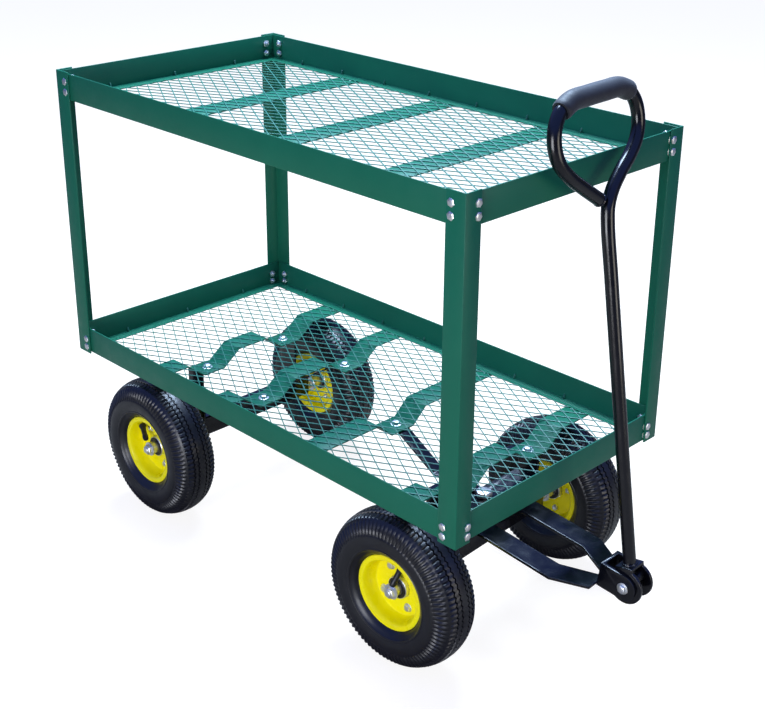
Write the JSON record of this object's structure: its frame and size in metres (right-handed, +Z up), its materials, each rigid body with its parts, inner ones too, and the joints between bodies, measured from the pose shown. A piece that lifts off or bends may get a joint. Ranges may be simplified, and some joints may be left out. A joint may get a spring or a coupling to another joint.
{
  "type": "plant trolley",
  "caption": "Two-tier plant trolley with mesh tray floors on angle posts, pneumatic wheels, a steered front axle and a tilting loop pull handle.",
  "frame": {"origin": "middle of the plan at ground level", "axes": "+X towards the pull handle, +Y to the trolley's left, +Z up"},
  "size_m": [1.0854, 0.488, 0.894],
  "materials": {
    "green_powder_coat": "dark green powder coat, semi-gloss with a fine orange-peel",
    "green_mesh": "dark green powder coat on expanded steel mesh",
    "black_enamel": "glossy black enamel",
    "zinc_plated_steel": "bright zinc plate, satin",
    "yellow_enamel": "glossy yellow enamel on pressed steel",
    "tyre_rubber": "moulded black rubber, ribbed sidewall and block tread",
    "tube_rubber": "plain black butyl rubber",
    "foam": "black closed-cell foam sleeve, matt"
  },
  "bodies": {
    "chassis": {"post_rear_right": "green_powder_coat", "post_rear_left": "green_powder_coat", "post_front_right": "green_powder_coat", "post_front_left": "green_powder_coat", "upper_side_rail_right": "green_powder_coat", "upper_side_rail_left": "green_powder_coat", "upper_end_rail_rear": "green_powder_coat", "upper_end_rail_front": "green_powder_coat", "upper_mesh_floor": "green_mesh", "lower_side_rail_right": "green_powder_coat", "lower_side_rail_left": "green_powder_coat", "lower_end_rail_rear": "green_powder_coat", "lower_end_rail_front": "green_powder_coat", "lower_mesh_floor": "green_mesh", "upper_strap_rear": "green_powder_coat", "upper_strap_middle": "green_powder_coat", "upper_strap_front": "green_powder_coat", "lower_strap_rear": "green_powder_coat", "lower_strap_rear_brace": "green_powder_coat", "lower_strap_front_brace": "green_powder_coat", "lower_strap_front": "green_powder_coat", "rear_axle_bracket": "black_enamel", "rear_brace_right": "black_enamel", "rear_brace_left": "black_enamel", "front_bracket": "black_enamel", "front_brace": "black_enamel", "rear_axle": "zinc_plated_steel", "kingpin": "zinc_plated_steel", "thrust_washer": "zinc_plated_steel", "kingpin_nut": "zinc_plated_steel"},
    "steering": {"steering_bracket": "black_enamel", "front_axle": "zinc_plated_steel", "drawbar_arm_right": "black_enamel", "drawbar_arm_left": "black_enamel", "clevis": "black_enamel", "clevis_pin": "zinc_plated_steel"},
    "handle": {"handle_yoke": "black_enamel", "handle_tube": "black_enamel", "foam_grip": "foam"},
    "wheel_rear_right": {"tyre_rear_right": "tyre_rubber", "inner_tube_rear_right": "tube_rubber", "rim_outer_rear_right": "yellow_enamel", "rim_inner_rear_right": "yellow_enamel", "hub_rear_right": "zinc_plated_steel"},
    "wheel_rear_left": {"tyre_rear_left": "tyre_rubber", "inner_tube_rear_left": "tube_rubber", "rim_outer_rear_left": "yellow_enamel", "rim_inner_rear_left": "yellow_enamel", "hub_rear_left": "zinc_plated_steel"},
    "wheel_front_right": {"tyre_front_right": "tyre_rubber", "inner_tube_front_right": "tube_rubber", "rim_outer_front_right": "yellow_enamel", "rim_inner_front_right": "yellow_enamel", "hub_front_right": "zinc_plated_steel"},
    "wheel_front_left": {"tyre_front_left": "tyre_rubber", "inner_tube_front_left": "tube_rubber", "rim_outer_front_left": "yellow_enamel", "rim_inner_front_left": "yellow_enamel", "hub_front_left": "zinc_plated_steel"}
  },
  "joints": [
    {"name": "steering", "type": "hinge", "parent": "chassis", "child": "steering", "pos_m": [0.2358, 0, 0.19], "axis": [0, 0, 1], "range_deg": [-12, 6]},
    {"name": "handle_tilt", "type": "hinge", "parent": "steering", "child": "handle", "pos_m": [0.51389, 0.01506, 0.1625], "axis": [-0.0541, 0.9985, 0], "range_deg": [0, 105]},
    {"name": "rear_right_wheel_spin", "type": "hinge", "parent": "chassis", "child": "wheel_rear_right", "pos_m": [-0.3672, -0.197, 0.1274], "axis": [0, 1, 0], "continuous": true},
    {"name": "rear_left_wheel_spin", "type": "hinge", "parent": "chassis", "child": "wheel_rear_left", "pos_m": [-0.3672, 0.197, 0.1274], "axis": [0, 1, 0], "continuous": true},
    {"name": "front_right_wheel_spin", "type": "hinge", "parent": "steering", "child": "wheel_front_right", "pos_m": [0.24645, -0.19671, 0.1274], "axis": [-0.0541, 0.9985, 0], "continuous": true},
    {"name": "front_left_wheel_spin", "type": "hinge", "parent": "steering", "child": "wheel_front_left", "pos_m": [0.22514, 0.19671, 0.1274], "axis": [-0.0541, 0.9985, 0], "continuous": true}
  ]
}
